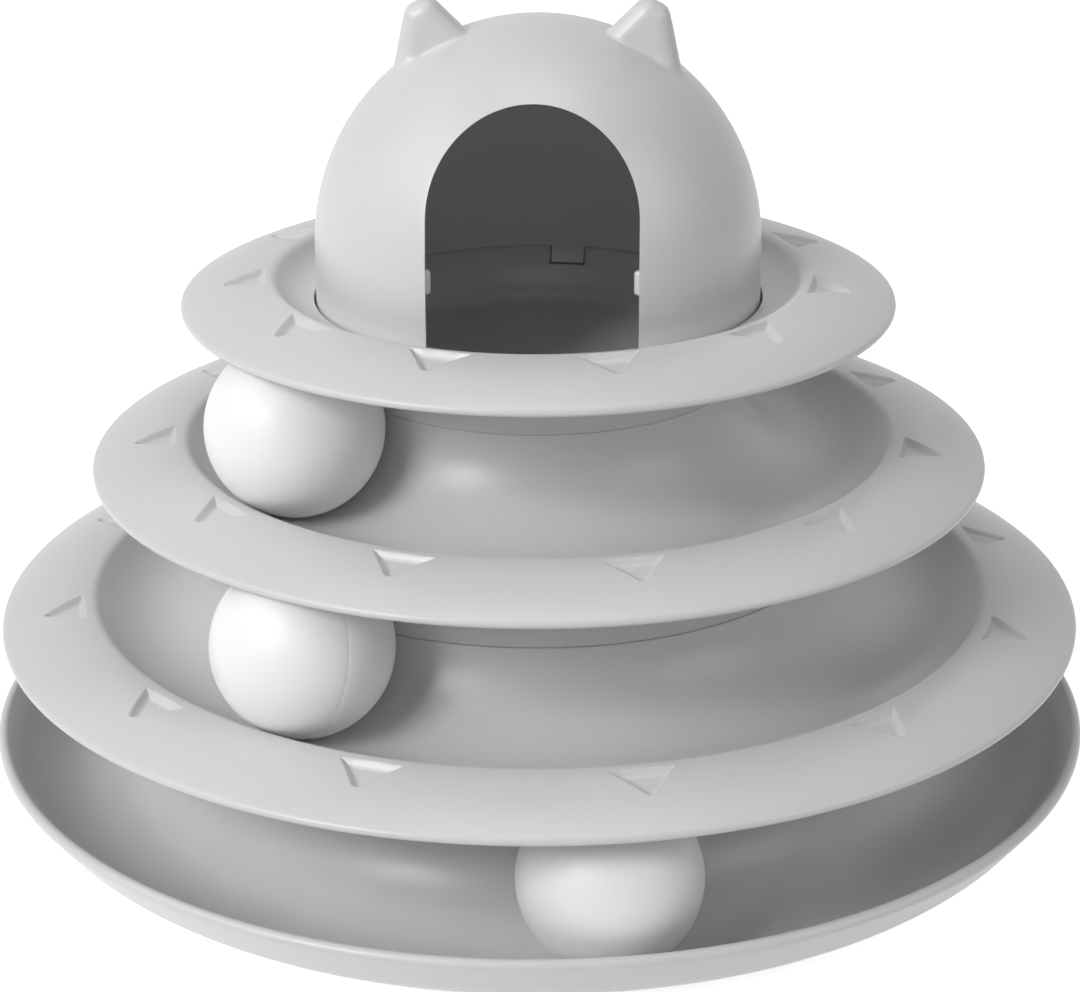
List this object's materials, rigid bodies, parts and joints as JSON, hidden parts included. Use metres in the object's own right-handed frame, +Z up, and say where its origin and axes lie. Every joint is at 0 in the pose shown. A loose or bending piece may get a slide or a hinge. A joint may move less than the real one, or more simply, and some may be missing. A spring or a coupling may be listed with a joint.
{
  "type": "cat ball track toy",
  "caption": "Round stacked tower of ball tracks for a cat, with a captive ball running in each track and a domed house with an arched door and two ears on top.",
  "frame": {"origin": "centre of the tower, on the plane that the pads stand on", "axes": "+Z up along the tower's axis, -Y towards the side with the door, +X to the right seen from the door side"},
  "size_m": [0.2594, 0.2594, 0.1888],
  "materials": {
    "shell_plastic": "fine matt moulded plastic, pale neutral grey",
    "ball_plastic": "smooth satin plastic, white, with a faint joint line",
    "pad_rubber": "soft matt anti-slip rubber"
  },
  "bodies": {
    "base": {"base_tray": "shell_plastic", "foot_pad_1": "pad_rubber", "foot_pad_2": "pad_rubber", "foot_pad_3": "pad_rubber", "foot_pad_4": "pad_rubber", "foot_pad_5": "pad_rubber", "foot_pad_6": "pad_rubber"},
    "lower": {"lower_tier": "shell_plastic"},
    "middle": {"middle_tier": "shell_plastic"},
    "upper": {"upper_tier": "shell_plastic"},
    "house": {"dome": "shell_plastic"},
    "base_ball": {"ball_base_half_a": "ball_plastic", "ball_base_half_b": "ball_plastic"},
    "lower_ball": {"ball_lower_half_a": "ball_plastic", "ball_lower_half_b": "ball_plastic"},
    "middle_ball": {"ball_middle_half_a": "ball_plastic", "ball_middle_half_b": "ball_plastic"}
  },
  "joints": [
    {"name": "lower_lift", "type": "slide", "parent": "base", "child": "lower", "axis": [0, 0, 1], "range_m": [0, 0.025]},
    {"name": "middle_lift", "type": "slide", "parent": "lower", "child": "middle", "axis": [0, 0, 1], "range_m": [0, 0.022]},
    {"name": "upper_lift", "type": "slide", "parent": "middle", "child": "upper", "axis": [0, 0, 1], "range_m": [0, 0.014]},
    {"name": "house_lift", "type": "slide", "parent": "upper", "child": "house", "axis": [0, 0, 1], "range_m": [0, 0.012]},
    {"name": "base_ball_run", "type": "hinge", "parent": "base", "child": "base_ball", "pos_m": [0, 0, 0.0236], "axis": [0, 0, 1], "continuous": true},
    {"name": "lower_ball_run", "type": "hinge", "parent": "lower", "child": "lower_ball", "pos_m": [0, 0, 0.0641], "axis": [0, 0, 1], "continuous": true},
    {"name": "middle_ball_run", "type": "hinge", "parent": "middle", "child": "middle_ball", "pos_m": [0, 0, 0.1009], "axis": [0, 0, 1], "continuous": true}
  ]
}
